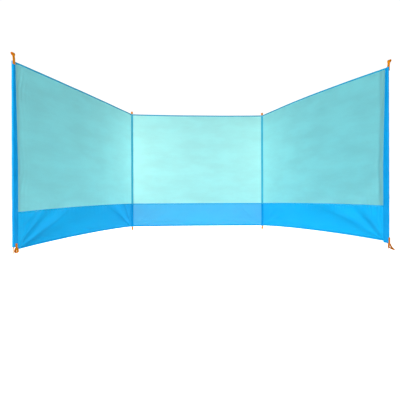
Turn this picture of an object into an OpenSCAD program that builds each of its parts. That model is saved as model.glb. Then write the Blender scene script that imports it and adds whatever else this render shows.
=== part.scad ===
// Three-bay beach windbreak: a cloth screen on four sleeved poles, with both end bays turned forward.
// The origin is on the ground under the left inner pole. +X runs along the centre bay and +Z is up.
// The sheltered side faces -Y. Lengths are in millimetres and angles in degrees.

/* [Bays] */
// Distance between neighbouring pole axes
bay_w = 1645; // [1000:5:2200]
// Height of the cloth at the poles
cloth_h = 1400; // [900:10:1800]
// Angle that each wing turns forward from the line of the centre bay
wing_turn = 67.5; // [20:0.5:85]
// Height of the lower end of the sleeves above the ground
ground_gap = 50; // [40:1:120]

/* [Cloth] */
// Thickness of the panels and the skirts
cloth_t = 1.0; // [0.6:0.1:2]
// Height of the opaque skirt at the poles
skirt_h = 280; // [150:5:450]
// Rise of the top edge at the middle of the left wing
left_top_rise = 6; // [0:1:40]
// Rise of the top edge at the middle of the right wing
right_top_rise = 18; // [0:1:40]
// Dip of the top edge at the middle of the centre bay
centre_top_dip = 8; // [0:1:60]
// Rise of the seam over the skirt at the middle of a wing
wing_seam_rise = 9; // [0:1:40]
// Rise of the seam over the skirt at the middle of the centre bay
centre_seam_rise = 1; // [0:1:40]
// Rise of the lower edge at the middle of a wing
wing_hem_rise = 20; // [0:1:60]
// Rise of the lower edge at the middle of the centre bay
centre_hem_rise = 3; // [0:1:60]
// How far its peg pulls the left wing's lower corner down
left_corner_drop = 24; // [0:1:35]
// How far the right wing's lower corner stays up
right_corner_lift = 12; // [0:1:35]

/* [Edges] */
// Thickness of the binding, the hem and the seam tape on each face
tape_t = 0.6; // [0.3:0.1:1.5]
// Width of the binding on each face of the top edge
binding_w = 12; // [6:1:30]
// Width of the hem on each face of the lower edge
hem_w = 15; // [6:1:30]
// Width of the tape over the seam between skirt and panel
seam_tape_w = 12; // [6:1:30]

/* [Poles] */
// Outer diameter of the pole tube
pole_d = 16; // [12:0.5:25]
// Wall of the pole tube
pole_wall = 1.0; // [0.6:0.1:2]
// How far the top of the tube lies below the top of its sleeve
pole_drop = 14; // [10:1:40]
// Diameter of the ground spike
spike_d = 6; // [4:0.5:10]
// Height of the collar that carries the spike
collar_h = 6; // [3:0.5:12]
// Height of the taper under the collar
taper_h = 8; // [4:0.5:20]
// Height of the rounded cap above the tube
cap_h = 5; // [3:0.5:8]
// Length of cap and spike that plugs into the tube
plug_l = 30; // [15:1:60]
// Gap between a plug and the bore of the tube, on the radius
plug_play = 0.15; // [0.05:0.05:0.5]

/* [Sleeves] */
// Thickness of the sleeve cloth
sleeve_t = 0.8; // [0.4:0.1:1.5]
// Gap between pole and sleeve, on the radius
pole_play = 0.3; // [0.1:0.1:1]
// Width of the margin of a sleeve that is sewn over the edge of a panel
margin_w = 7; // [4:0.5:15]
// Slack of an end sleeve between pole and seam, at the top
slack_top = 3; // [1:0.5:20]
// Slack of an end sleeve between pole and seam, at the bottom
slack_bottom = 23; // [10:0.5:40]
// Share of the height over which the slack stays full
slack_share = 0.45; // [0.25:0.05:0.8]

/* [Webbing loops] */
// Width of the webbing
web_w = 20; // [12:1:30]
// Thickness of one layer of webbing
web_t = 1.6; // [0.8:0.1:2.5]
// Length of the doubled tail that is sewn to the sleeve
tail_l = 26; // [15:1:50]
// Clear width of the eye of a loop
eye_w = 20; // [14:1:26]
// Clear length of the eye of a guy loop
guy_eye_l = 26; // [18:1:50]
// Height of the guy loops above the end sleeves
end_guy_reach = 66; // [40:1:120]
// Height of the guy loops above the inner sleeves
inner_guy_reach = 36; // [36:1:120]
// Gap between the peg loops and the ground
peg_gap = 3; // [2:0.5:10]
// Outward lean of the tip of a guy loop on an end pole
guy_lean = 16; // [0:1:30]
// Outward lean of the tip of an inner peg loop, which keeps it clear of the ground spike
inner_peg_lean = 20; // [18:1:36]
// Outward lean of the tip of the right peg loop, which lies on the ground
right_peg_lean = 36; // [18:1:40]
// Clear width of the eye of a peg loop on an end pole
end_peg_eye_w = 26; // [22:1:30]
// Where the left peg loop sits, as a share of the way from its pole to the sleeve's seam
left_peg_seat = 0.6; // [0.55:0.05:0.7]

/* [Hidden] */
$fn = 72;

// Heights of the cloth's edges at the poles
sleeve_bottom = ground_gap;
sleeve_top = ground_gap + cloth_h;

// Radii of the sleeves and the half thickness of a seam
pole_r = pole_d / 2;
sleeve_in_r = pole_r + pole_play;
sleeve_out_r = sleeve_in_r + sleeve_t;
slot_half = cloth_t / 2;
seam_half = slot_half + sleeve_t;

// Heights along a pole
collar_bottom = sleeve_bottom - collar_h / 2;
tube_bottom = collar_bottom + collar_h;
tube_top = sleeve_top - pole_drop;
plug_r = pole_r - pole_wall - plug_play;

// Steps of the curved edges, of an end sleeve's round side and plies, and of a loop's neck and eye
edge_steps = 24;
arc_steps = 18;
ply_steps = 4;
neck_steps = 6;
eye_steps = 32;
// Largest half width of the eye's curve when its scale is 1
eye_curve_max = 0.77;
// Doubled length at the root of an eye, where the two layers part
eye_root = 6;
// Overlap of the doubled tail with the outline of its eye
tail_overlap = 3;

CLOTH_AQUA = [0.52, 0.85, 0.88];
CLOTH_BLUE = [0.06, 0.66, 0.97];
SLEEVE_BLUE = [0.02, 0.60, 0.92];
TAPE_BLUE = [0.10, 0.56, 0.80];
WEB_ORANGE = [0.96, 0.53, 0.05];
STEEL = [0.76, 0.77, 0.79];
PLASTIC_BLACK = [0.10, 0.10, 0.11];

// Frames of the bays and the poles. In a wing, x runs from the end pole to the inner pole.
module in_left_wing() {
    translate([-bay_w * cos(wing_turn), -bay_w * sin(wing_turn), 0])
        rotate(wing_turn)
            children();
}

module mirrored() {
    translate([bay_w, 0, 0])
        mirror([1, 0, 0])
            children();
}

module in_right_wing() {
    mirrored()
        in_left_wing()
            children();
}

// Edges of a bay: rises of top edge, seam and lower edge at its middle, and lift of its first lower corner
left_edges = [left_top_rise, wing_seam_rise, wing_hem_rise, -left_corner_drop];
centre_edges = [-centre_top_dip, centre_seam_rise, centre_hem_rise, 0];
right_edges = [right_top_rise, wing_seam_rise, wing_hem_rise, right_corner_lift];

// Bulge of an edge at a distance x from a pole: 0 at the poles and 1 at the middle
function bulge(x) = 4 * x * (bay_w - x) / (bay_w * bay_w);
function lift(x, edges) = edges[3] * (1 - x / bay_w);
function top_z(x, edges) = sleeve_top + edges[0] * bulge(x);
function seam_z(x, edges) = sleeve_bottom + skirt_h + edges[1] * bulge(x) + lift(x, edges);
function hem_z(x, edges) = sleeve_bottom + edges[2] * bulge(x) + lift(x, edges);
function seam_share(edges) = (skirt_h + edges[3]) / cloth_h;

// Distance from an end pole's axis to the edge of its panel, at a share of the sleeve's height
function slack(share) =
    share < slack_share ? slack_bottom
    : slack_top + (slack_bottom - slack_top) * (1 - share) / (1 - slack_share);
function end_edge(share) = sleeve_out_r + slack(share);
end_levels = [0, slack_share, 1];
inner_edge = bay_w - sleeve_out_r;

function spread(a, b, steps) = [for (k = [0:steps]) a + (b - a) * k / steps];

// Outline between two curves over x. The side points close the outline from the upper curve's start.
function strip(x_low, x_high, x_end, low, high, side = []) = concat(
    [for (x = spread(x_low, x_end, edge_steps)) [x, low(x)]],
    [for (x = spread(x_end, x_high, edge_steps)) [x, high(x)]],
    side
);

// Points of an end sleeve's seam that lie between two shares of its height, from the top down
function side_points(low_share, high_share) = [
    for (k = [len(end_levels) - 1:-1:0])
        if (end_levels[k] > low_share && end_levels[k] < high_share)
            [end_edge(end_levels[k]), sleeve_bottom + cloth_h * end_levels[k]]
];

// A flat sheet that stands in the plane of its bay
module upright(points, thickness, y = 0) {
    translate([0, y, 0])
        rotate([90, 0, 0])
            linear_extrude(thickness, center = true)
                polygon(points);
}

function wing_panel_outline(edges) = strip(
    end_edge(seam_share(edges)), end_edge(1), inner_edge,
    function(x) seam_z(x, edges), function(x) top_z(x, edges), side_points(seam_share(edges), 1)
);
function wing_skirt_outline(edges) = strip(
    end_edge(0), end_edge(seam_share(edges)), inner_edge,
    function(x) hem_z(x, edges), function(x) seam_z(x, edges), side_points(0, seam_share(edges))
);
centre_panel_outline = strip(
    sleeve_out_r, sleeve_out_r, inner_edge,
    function(x) seam_z(x, centre_edges), function(x) top_z(x, centre_edges)
);
centre_skirt_outline = strip(
    sleeve_out_r, sleeve_out_r, inner_edge,
    function(x) hem_z(x, centre_edges), function(x) seam_z(x, centre_edges)
);

module panel(outline) {
    color(CLOTH_AQUA)
        upright(outline, cloth_t);
}

module skirt(outline) {
    color(CLOTH_BLUE)
        upright(outline, cloth_t);
}

// A tape folded over an edge: the strip between two curves, with the sheet cut out of its middle
module folded_tape(x_start, low, high, sheet_outline) {
    x_end = inner_edge - margin_w;
    color(TAPE_BLUE)
        difference() {
            upright(strip(x_start, x_start, x_end, low, high), cloth_t + 2 * tape_t);
            upright(sheet_outline, cloth_t);
        }
}

module binding(x_start, edges, panel_outline) {
    folded_tape(
        x_start + margin_w,
        function(x) top_z(x, edges) - binding_w, function(x) top_z(x, edges) + tape_t,
        panel_outline
    );
}

module hem(x_start, edges, skirt_outline) {
    folded_tape(
        x_start + margin_w,
        function(x) hem_z(x, edges) - tape_t, function(x) hem_z(x, edges) + hem_w,
        skirt_outline
    );
}

module wing_binding(edges) {
    binding(end_edge(1), edges, wing_panel_outline(edges));
}

module wing_hem(edges) {
    hem(end_edge(0), edges, wing_skirt_outline(edges));
}

// The seam between skirt and panel is covered by one tape on each face
module seam_tape(x_start, edges) {
    outline = strip(
        x_start + margin_w, x_start + margin_w, inner_edge - margin_w,
        function(x) seam_z(x, edges) - seam_tape_w / 2, function(x) seam_z(x, edges) + seam_tape_w / 2
    );
    color(TAPE_BLUE)
        for (face = [-1, 1])
            upright(outline, tape_t, face * (slot_half + tape_t / 2));
}

module wing_seam_tape(edges) {
    seam_tape(end_edge(seam_share(edges)), edges);
}

// Pole parts
module pole() {
    color(STEEL)
        difference() {
            translate([0, 0, tube_bottom])
                cylinder(r = pole_r, h = tube_top - tube_bottom);
            translate([0, 0, tube_bottom - 1])
                cylinder(r = pole_r - pole_wall, h = tube_top - tube_bottom + 2);
        }
}

module pole_cap() {
    color(PLASTIC_BLACK)
        translate([0, 0, tube_top])
            rotate_extrude()
                union() {
                    translate([0, -plug_l])
                        square([plug_r, plug_l + cap_h]);
                    square([pole_r - cap_h / 2, cap_h]);
                    square([pole_r, cap_h / 2]);
                    intersection() {
                        translate([pole_r - cap_h / 2, cap_h / 2])
                            circle(r = cap_h / 2);
                        square([pole_r, cap_h]);
                    }
                }
}

module ground_spike() {
    color(STEEL)
        union() {
            cylinder(d = spike_d, h = collar_bottom);
            translate([0, 0, collar_bottom - taper_h])
                cylinder(d1 = spike_d, d2 = 2 * plug_r, h = taper_h);
            translate([0, 0, collar_bottom])
                cylinder(r = pole_r, h = collar_h);
            translate([0, 0, tube_bottom])
                cylinder(r = plug_r, h = plug_l);
        }
}

// Direction of the tangent point on a circle, seen from a point at distance x and half height y
function tangent_angle(x, y, r) = atan2(y, x) + acos(r / norm([x, y]));
function on_circle(r, angle) = [r * cos(angle), r * sin(angle)];
function reversed(points) = [for (k = [len(points) - 1:-1:0]) points[k]];
function flipped(points) = [for (p = points) [p[0], -p[1]]];

// Side of an end sleeve from its seam to where every level lies on the pole's round.
// Points at the same angle keep together from level to level, first on the straight ply, then on the round.
function ply(share, r, half_t) =
    let (
        seam = [end_edge(share), half_t],
        here = tangent_angle(seam[0], half_t, r),
        ends = [tangent_angle(end_edge(0), half_t, r), tangent_angle(end_edge(1), half_t, r)],
        step = (max(ends) - min(ends)) / ply_steps
    )
    [
        for (a = spread(min(ends), max(ends), ply_steps))
            a >= here ? on_circle(r, a)
            : seam + (on_circle(r, here) - seam) * (a - min(ends) + step) / (here - min(ends) + step)
    ];

// The sleeve's round side, between its two plies
function round_side(r, half_t) =
    let (from = max(tangent_angle(end_edge(0), half_t, r), tangent_angle(end_edge(1), half_t, r)))
    [for (k = [1:arc_steps - 1]) on_circle(r, from + (360 - 2 * from) * k / arc_steps)];

function wrap(share, r, half_t) =
    let (side = ply(share, r, half_t))
    concat(side, round_side(r, half_t), reversed(flipped(side)));

// Section of an end sleeve: round the pole, then two plies that close on the panel's edge
function sleeve_ring(share) =
    let (x = end_edge(share), x_out = x + margin_w)
    concat(
        [[x_out, seam_half], [x, seam_half]],
        wrap(share, sleeve_out_r, seam_half),
        [[x, -seam_half], [x_out, -seam_half], [x_out, -slot_half], [x, -slot_half]],
        reversed(wrap(share, sleeve_in_r, slot_half)),
        [[x, slot_half], [x_out, slot_half]]
    );

// The sections are joined by triangles whose diagonals rise from the seam towards the pole on both faces
module end_sleeve() {
    rings = [for (share = end_levels) sleeve_ring(share)];
    count = len(rings[0]);
    last = len(rings) - 1;
    points = [
        for (k = [0:last], p = rings[k])
            [p[0], p[1], sleeve_bottom + cloth_h * end_levels[k]]
    ];
    sides = [
        for (k = [0:last - 1], j = [0:count - 1])
            let (
                next = (j + 1) % count,
                a = k * count + j,
                b = k * count + next,
                inward = rings[k][j][0] > rings[k][next][0]
            )
            each inward
                ? [[a, a + count, b + count], [a, b + count, b]]
                : [[a, a + count, b], [b, a + count, b + count]]
    ];
    color(SLEEVE_BLUE)
        polyhedron(
            points = points,
            faces = concat(
                sides,
                [[for (j = [0:count - 1]) j]],
                [[for (j = [count - 1:-1:0]) last * count + j]]
            )
        );
}

// An inner sleeve has a sewn margin towards each of its two bays
module inner_sleeve() {
    bay_directions = [0, 180 + wing_turn];
    color(SLEEVE_BLUE)
        translate([0, 0, sleeve_bottom])
            linear_extrude(cloth_h)
                difference() {
                    union() {
                        circle(r = sleeve_out_r);
                        for (direction = bay_directions)
                            rotate(direction)
                                translate([0, -seam_half])
                                    square([sleeve_out_r + margin_w, 2 * seam_half]);
                    }
                    circle(r = sleeve_in_r);
                    for (direction = bay_directions)
                        rotate(direction)
                            translate([sleeve_out_r, -slot_half])
                                square([2 * margin_w, cloth_t]);
                }
}

// Outline of an eye: a point at its root, and round at its far end
function eye_outline(start, half_w, length) = [
    for (k = [0:eye_steps - 1])
        let (angle = 360 * k / eye_steps)
        [half_w / eye_curve_max * sin(angle) * sin(angle / 2), start + length * (1 - cos(angle)) / 2]
];

// Outline of the doubled tail and neck
function tail_outline(height) = concat(
    [[-web_t, -tail_l], [web_t, -tail_l]],
    [for (z = spread(0, height, neck_steps)) [web_t, z]],
    [for (z = spread(height, 0, neck_steps)) [-web_t, z]]
);

// A loop leans sideways more and more towards its tip
function leaned(points, reach, lean) = [
    for (p = points) [p[0] + lean * pow(max(p[1], 0) / reach, 2), p[1]]
];

// A webbing loop: two layers sewn flat from z = -tail_l to 0, which part into an eye above the neck.
// It is centred on its doubled layer, and the eye can be seen through along x.
module web_loop(reach, eye_l, lean, clear_w = eye_w) {
    outer_l = eye_root + eye_l + web_t;
    neck = reach - outer_l;
    color(WEB_ORANGE)
        rotate([90, 0, 90])
            linear_extrude(web_w, center = true)
                difference() {
                    union() {
                        polygon(leaned(tail_outline(neck + tail_overlap), reach, lean));
                        polygon(leaned(eye_outline(neck, clear_w / 2 + web_t, outer_l), reach, lean));
                    }
                    polygon(leaned(eye_outline(neck + eye_root, clear_w / 2, eye_l), reach, lean));
                }
}

module guy_loop(reach, side, lean) {
    translate([0, side * (sleeve_out_r + web_t), sleeve_top])
        web_loop(reach, guy_eye_l, lean);
}

peg_reach = sleeve_bottom - peg_gap;
peg_eye_l = peg_reach - eye_root - web_t;

module peg_loop(lean, clear_w = eye_w) {
    mirror([0, 0, 1])
        web_loop(peg_reach, peg_eye_l, lean, clear_w);
}

// On the outer face of a sleeve, beside its pole
module outer_peg_loop(lean, clear_w = eye_w) {
    translate([0, sleeve_out_r + web_t, sleeve_bottom])
        peg_loop(lean, clear_w);
}

// On the round side of the right end sleeve, facing away from its bay
module end_peg_loop() {
    rotate(90)
        outer_peg_loop(right_peg_lean, end_peg_eye_w);
}

// On the straight ply of the left end sleeve, on its sheltered face
module ply_peg_loop() {
    edge = end_edge(0);
    tangent = tangent_angle(edge, seam_half, sleeve_out_r);
    start = sleeve_out_r * [cos(tangent), -sin(tangent)];
    run = [edge, -seam_half] - start;
    direction = atan2(run[1], run[0]);
    seat = start + run * left_peg_seat;
    translate([seat[0], seat[1], sleeve_bottom])
        rotate(direction)
            translate([0, -web_t, 0])
                peg_loop(0, end_peg_eye_w);
}

in_left_wing() pole();  // left_end_pole
pole();  // left_inner_pole
mirrored() pole();  // right_inner_pole
in_right_wing() pole();  // right_end_pole

in_left_wing() pole_cap();  // left_end_pole_cap
pole_cap();  // left_inner_pole_cap
mirrored() pole_cap();  // right_inner_pole_cap
in_right_wing() pole_cap();  // right_end_pole_cap

in_left_wing() ground_spike();  // left_end_ground_spike
ground_spike();  // left_inner_ground_spike
mirrored() ground_spike();  // right_inner_ground_spike
in_right_wing() ground_spike();  // right_end_ground_spike

in_left_wing() end_sleeve();  // left_end_sleeve
inner_sleeve();  // left_inner_sleeve
mirrored() inner_sleeve();  // right_inner_sleeve
in_right_wing() end_sleeve();  // right_end_sleeve

in_left_wing() panel(wing_panel_outline(left_edges));  // left_wing_panel
panel(centre_panel_outline);  // centre_panel
in_right_wing() panel(wing_panel_outline(right_edges));  // right_wing_panel

in_left_wing() skirt(wing_skirt_outline(left_edges));  // left_wing_skirt
skirt(centre_skirt_outline);  // centre_skirt
in_right_wing() skirt(wing_skirt_outline(right_edges));  // right_wing_skirt

in_left_wing() wing_binding(left_edges);  // left_wing_binding
binding(sleeve_out_r, centre_edges, centre_panel_outline);  // centre_binding
in_right_wing() wing_binding(right_edges);  // right_wing_binding

in_left_wing() wing_hem(left_edges);  // left_wing_hem
hem(sleeve_out_r, centre_edges, centre_skirt_outline);  // centre_hem
in_right_wing() wing_hem(right_edges);  // right_wing_hem

in_left_wing() wing_seam_tape(left_edges);  // left_wing_seam_tape
seam_tape(sleeve_out_r, centre_edges);  // centre_seam_tape
in_right_wing() wing_seam_tape(right_edges);  // right_wing_seam_tape

in_left_wing() guy_loop(end_guy_reach, -1, guy_lean);  // left_end_guy_loop
guy_loop(inner_guy_reach, 1, 0);  // left_inner_guy_loop
mirrored() guy_loop(inner_guy_reach, 1, 0);  // right_inner_guy_loop
in_right_wing() guy_loop(end_guy_reach, 1, guy_lean);  // right_end_guy_loop

in_left_wing() ply_peg_loop();  // left_end_peg_loop
outer_peg_loop(inner_peg_lean);  // left_inner_peg_loop
mirrored() outer_peg_loop(inner_peg_lean);  // right_inner_peg_loop
in_right_wing() end_peg_loop();  // right_end_peg_loop
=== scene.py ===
"""Cloth, webbing and finishes of a three-bay beach windbreak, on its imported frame."""

import logging
import math
from abc import ABC, abstractmethod
from collections.abc import Callable, Sequence
from dataclasses import dataclass, field
from enum import Enum
from typing import Any

import bpy
import numpy as np
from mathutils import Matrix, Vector


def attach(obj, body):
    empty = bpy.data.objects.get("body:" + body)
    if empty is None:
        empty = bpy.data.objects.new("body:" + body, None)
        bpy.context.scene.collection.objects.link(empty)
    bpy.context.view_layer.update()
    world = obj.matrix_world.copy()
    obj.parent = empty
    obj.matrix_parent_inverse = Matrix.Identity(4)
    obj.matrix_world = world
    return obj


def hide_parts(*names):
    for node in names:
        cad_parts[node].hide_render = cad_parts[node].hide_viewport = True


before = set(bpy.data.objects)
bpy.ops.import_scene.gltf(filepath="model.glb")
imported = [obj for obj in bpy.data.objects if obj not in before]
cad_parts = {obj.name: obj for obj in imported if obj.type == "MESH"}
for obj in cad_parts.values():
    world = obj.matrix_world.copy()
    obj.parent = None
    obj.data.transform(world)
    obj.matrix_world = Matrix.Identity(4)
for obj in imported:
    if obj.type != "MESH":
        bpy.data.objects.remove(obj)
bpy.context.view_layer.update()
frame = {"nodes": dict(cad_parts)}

log = logging.getLogger("windbreak")

Array = np.ndarray
Colour = tuple[float, float, float]
Point = tuple[float, float, float]
Line = Callable[[Array], Array]
Material = bpy.types.Material
Piece = bpy.types.Object

PLY = 0.0006  # thickness of the sleeves' cloth
PROUD = 0.0001  # room between a tape or a stitch and what it lies on
STEEPEST = 0.858  # steepest slope of exp(-s * s)
WIDEST = 0.77  # largest value of sin(a) * sin(a / 2)
SHARP_EDGE = math.radians(55)


class Face(Enum):
    """The two faces of the cloth, as the sign of the bay's outward direction."""

    SHELTERED = -1
    WINDWARD = 1


class Hang(Enum):
    """Which way a webbing loop runs from the edge of its sleeve."""

    UP = 1
    DOWN = -1


@dataclass(frozen=True)
class Sizes:
    """Sizes of the windbreak in metres, as on the solids that carry the cloth."""

    bay_width: float = 1.645
    cloth_height: float = 1.400
    skirt_height: float = 0.280
    wing_turn: float = math.radians(67.5)
    ground_gap: float = 0.050
    sleeve_outside: float = 0.0091
    seam_half: float = 0.0013
    margin: float = 0.007
    slack_top: float = 0.003
    slack_bottom: float = 0.023
    slack_share: float = 0.45

    @property
    def high(self) -> float:
        """Height of the sleeves' upper ends."""
        return self.ground_gap + self.cloth_height

    def bulge(self, x: Array) -> Array:
        """Bulge of an edge of the cloth at x: 0 at the poles and 1 between them."""
        return 4 * x * (self.bay_width - x) / self.bay_width**2

    def end_edge(self, z: Array) -> Array:
        """Distance from an end pole's axis to the edge of the cloth at height z."""
        share = (np.asarray(z, float) - self.ground_gap) / self.cloth_height
        slack = self.slack_top + (self.slack_bottom - self.slack_top) * (1 - share) / (1 - self.slack_share)
        return self.sleeve_outside + np.clip(slack, self.slack_top, self.slack_bottom)


SIZES = Sizes()


@dataclass(frozen=True)
class Edges:
    """How the edges of a bay run: their rises between the poles, and the lift of its first lower corner."""

    top_rise: float
    seam_rise: float
    hem_rise: float
    corner_lift: float

    def _lift(self, x: Array) -> Array:
        """Lift of the lower edges at x, which dies out towards the other pole."""
        return self.corner_lift * (1 - x / SIZES.bay_width)

    def top(self, x: Array) -> Array:
        """Height of the upper edge at x."""
        return SIZES.high + self.top_rise * SIZES.bulge(x)

    def seam(self, x: Array) -> Array:
        """Height of the seam between skirt and panel at x."""
        return SIZES.ground_gap + SIZES.skirt_height + self.seam_rise * SIZES.bulge(x) + self._lift(x)

    def hem(self, x: Array) -> Array:
        """Height of the lower edge at x."""
        return SIZES.ground_gap + self.hem_rise * SIZES.bulge(x) + self._lift(x)


@dataclass(frozen=True)
class BayFrame:
    """Frame of a bay: x along the cloth from its first pole, n to the windward face, z up."""

    origin: tuple[float, float]
    along: tuple[float, float]
    outward: tuple[float, float]

    def world(self, x: Array, n: Array, z: Array) -> Array:
        """Points of the shared frame for places in the bay.

        Args:
            x: Distance along the bay.
            n: Distance towards the windward face.
            z: Height.

        Returns:
            An array with one more axis than the places, which holds x, y and z.
        """
        x, n, z = np.broadcast_arrays(np.asarray(x, float), np.asarray(n, float), np.asarray(z, float))
        return np.stack(
            [
                self.origin[0] + x * self.along[0] + n * self.outward[0],
                self.origin[1] + x * self.along[1] + n * self.outward[1],
                z,
            ],
            axis=-1,
        )


def bay_frames() -> dict[str, BayFrame]:
    """Frames of the three bays, and of the right inner pole, which mirrors the left one."""
    width, cos, sin = SIZES.bay_width, math.cos(SIZES.wing_turn), math.sin(SIZES.wing_turn)
    return {
        "left_wing": BayFrame((-width * cos, -width * sin), (cos, sin), (-sin, cos)),
        "centre": BayFrame((0.0, 0.0), (1.0, 0.0), (0.0, 1.0)),
        "right_wing": BayFrame((width + width * cos, -width * sin), (-cos, sin), (sin, cos)),
        "right_inner": BayFrame((width, 0.0), (-1.0, 0.0), (0.0, 1.0)),
    }


FRAMES = bay_frames()


def eased(value: Array, low: float, high: float) -> Array:
    """A smooth step from 0 at low to 1 at high."""
    share = np.clip((value - low) / (high - low), 0, 1)
    return share * share * (3 - 2 * share)


def wave(run: Array, length: float, shift: float = 0.0) -> Array:
    """A sine wave of some length along a run, shifted by a share of that length."""
    return np.sin(math.tau * (run / length + shift))


def chart_of(down: Array, across: Array) -> Array:
    """A chart from the lengths down the rows and across the columns of a grid."""
    return np.stack(np.broadcast_arrays(down[:, None], across[None, :]), -1)


def math_node(operation: str) -> Callable[..., "Wire"]:
    """A method of Wire that adds a Math node for it and, where there is one, for a second number."""

    def method(wire: "Wire", other: Any = 0.0) -> "Wire":
        """What comes out of the Math node."""
        return wire.graph.out("ShaderNodeMath", {0: wire, 1: other}, operation=operation)

    return method


class Wire:
    """A number on its way through a shader, which can be added, multiplied and so on."""

    def __init__(self, graph: "Graph", socket: bpy.types.NodeSocket) -> None:
        """Keeps the graph and the socket that the number comes out of."""
        self.graph = graph
        self.socket = socket

    __add__ = __radd__ = math_node("ADD")
    __sub__ = math_node("SUBTRACT")
    __mul__ = math_node("MULTIPLY")
    __truediv__ = math_node("DIVIDE")
    sine = math_node("SINE")
    size = math_node("ABSOLUTE")

    def between(self, low: float, high: float) -> "Wire":
        """A smooth step from 0 at low to 1 at high."""
        sockets = {0: self, 1: low, 2: high, 3: 0.0, 4: 1.0}
        return self.graph.out("ShaderNodeMapRange", sockets, interpolation_type="SMOOTHSTEP")


class Graph:
    """The node tree of one material, filled from an empty one."""

    def __init__(self, name: str) -> None:
        """Makes the material and empties its tree."""
        self.material = bpy.data.materials.new(name)
        self.material.use_nodes = True
        self.tree = self.material.node_tree
        self.tree.nodes.clear()

    def add(self, kind: str, sockets: dict[Any, Any], **settings: Any) -> bpy.types.Node:
        """Adds a node.

        Args:
            kind: The node's type.
            sockets: Numbers, colours or wires for its inputs, by name or place.
            settings: Its own settings, which are set first.

        Returns:
            The new node.
        """
        node = self.tree.nodes.new(kind)
        for key, value in settings.items():
            setattr(node, key, value)
        for key, value in sockets.items():
            if isinstance(value, Wire):
                self.tree.links.new(value.socket, node.inputs[key])
            else:
                node.inputs[key].default_value = value
        return node

    def out(self, kind: str, sockets: dict[Any, Any], place: Any = 0, **settings: Any) -> Wire:
        """Adds a node and gives one of its outputs as a wire."""
        return Wire(self, self.add(kind, sockets, **settings).outputs[place])

    def mix(self, share: Any, first: Any, second: Any) -> Wire:
        """A colour between two others, or two wires of colour."""
        full = [value if isinstance(value, Wire) else (*value, 1.0) for value in (first, second)]
        return self.out("ShaderNodeMix", {0: share, 6: full[0], 7: full[1]}, 2, data_type="RGBA")

    def place(self, x: Any, y: Any, z: Any) -> Wire:
        """A point from its three coordinates."""
        return self.out("ShaderNodeCombineXYZ", {0: x, 1: y, 2: z})

    def parts(self, point: Wire) -> list[Wire]:
        """The three coordinates of a point."""
        return [Wire(self, socket) for socket in self.add("ShaderNodeSeparateXYZ", {0: point}).outputs]

    def chart(self) -> list[Wire]:
        """The two directions of the piece's own chart, in metres."""
        return self.parts(self.out("ShaderNodeTexCoord", {}, "UV"))[:2]

    def body_place(self) -> Wire:
        """The place on the piece, in metres."""
        return self.out("ShaderNodeTexCoord", {}, "Object")

    def noise(self, point: Wire, scale: float = 1.0, detail: float = 2.0, rough: float = 0.5) -> Wire:
        """Cloudy noise about 0.5 at a point."""
        sockets = {"Vector": point, "Scale": scale, "Detail": detail, "Roughness": rough}
        return self.out("ShaderNodeTexNoise", sockets)

    def mark(self, name: str) -> Wire:
        """A number that the mesh carries at its points."""
        return self.out("ShaderNodeAttribute", {}, "Fac", attribute_name=name)

    def bump(self, height: Wire, distance: float, strength: float) -> Wire:
        """A normal from a height between 0 and 1."""
        sockets = {"Strength": strength, "Distance": distance, "Height": height}
        return self.out("ShaderNodeBump", sockets, "Normal")

    def skin(self, colour: Wire, rough: Any, more: dict[str, Any]) -> Wire:
        """A surface of some colour and roughness, with more inputs by name."""
        return self.out("ShaderNodeBsdfPrincipled", {"Base Color": colour, "Roughness": rough, **more})

    def close(self, surface: Wire) -> Material:
        """Ends the tree in a surface and gives the material."""
        self.add("ShaderNodeOutputMaterial", {"Surface": surface})
        return self.material


@dataclass(frozen=True)
class ClothFinish:
    """A woven cloth, with cloudy shade, thread streaks, painted shade in its folds and bends, a foot colour on the
    inner sleeves and light from behind.
    """

    name: str
    colour: Colour
    shade: Colour
    # Colour of painted shade on the bays, and of the foot on the inner sleeves.
    painted_shade_and_foot_colour: Colour
    roughness: float
    gloss: float
    behind: Colour = (0.0, 0.0, 0.0)
    see_through: float = 0.0
    thread: float = 0.0009
    cloud: float = 0.8

    def material(self) -> Material:
        """Builds the cloth's material."""
        graph = Graph(self.name)
        across, up = graph.chart()
        threads = math.pi / self.thread
        weave = (across * threads).sine() * (up * threads).sine()
        warp = graph.noise(graph.place(across * 900.0, up * 14.0, 0.0))
        weft = graph.noise(graph.place(across * 14.0, up * 900.0, 3.0))
        clouds = graph.noise(graph.place(across * 0.35, up, 7.0), scale=9.0, detail=5.0, rough=0.6)
        cloud = clouds.between(0.3, 0.7)
        speck = graph.noise(graph.place(across, up, 0.0), scale=70.0, rough=0.6)
        streak = (warp + weft) * 0.5
        tone = cloud * self.cloud * 0.7 + streak * 0.5 + speck * 0.2 - 0.2
        plain = graph.mix(tone, self.colour, self.shade)
        # Painted shade: the mesh's painted_shade_and_foot share darkens the cloth in folds, bends and the turned-in
        # band; on the inner sleeves it gives the blue foot.
        colour = graph.mix(graph.mark("painted_shade_and_foot"), plain, self.painted_shade_and_foot_colour)
        rough = self.roughness + (streak - 0.5) * 0.12 + (cloud - 0.5) * 0.06
        normal = graph.bump(weave * 0.25 + streak * 0.6 + speck * 0.3, distance=0.0006, strength=0.35)
        skin = graph.skin(colour, rough, {"Specular IOR Level": self.gloss, "Normal": normal})
        if self.see_through <= 0:
            return graph.close(skin)
        back = graph.out("ShaderNodeBsdfTranslucent", {"Color": (*self.behind, 1.0)})
        return graph.close(graph.out("ShaderNodeMixShader", {0: self.see_through, 1: skin, 2: back}))


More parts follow.
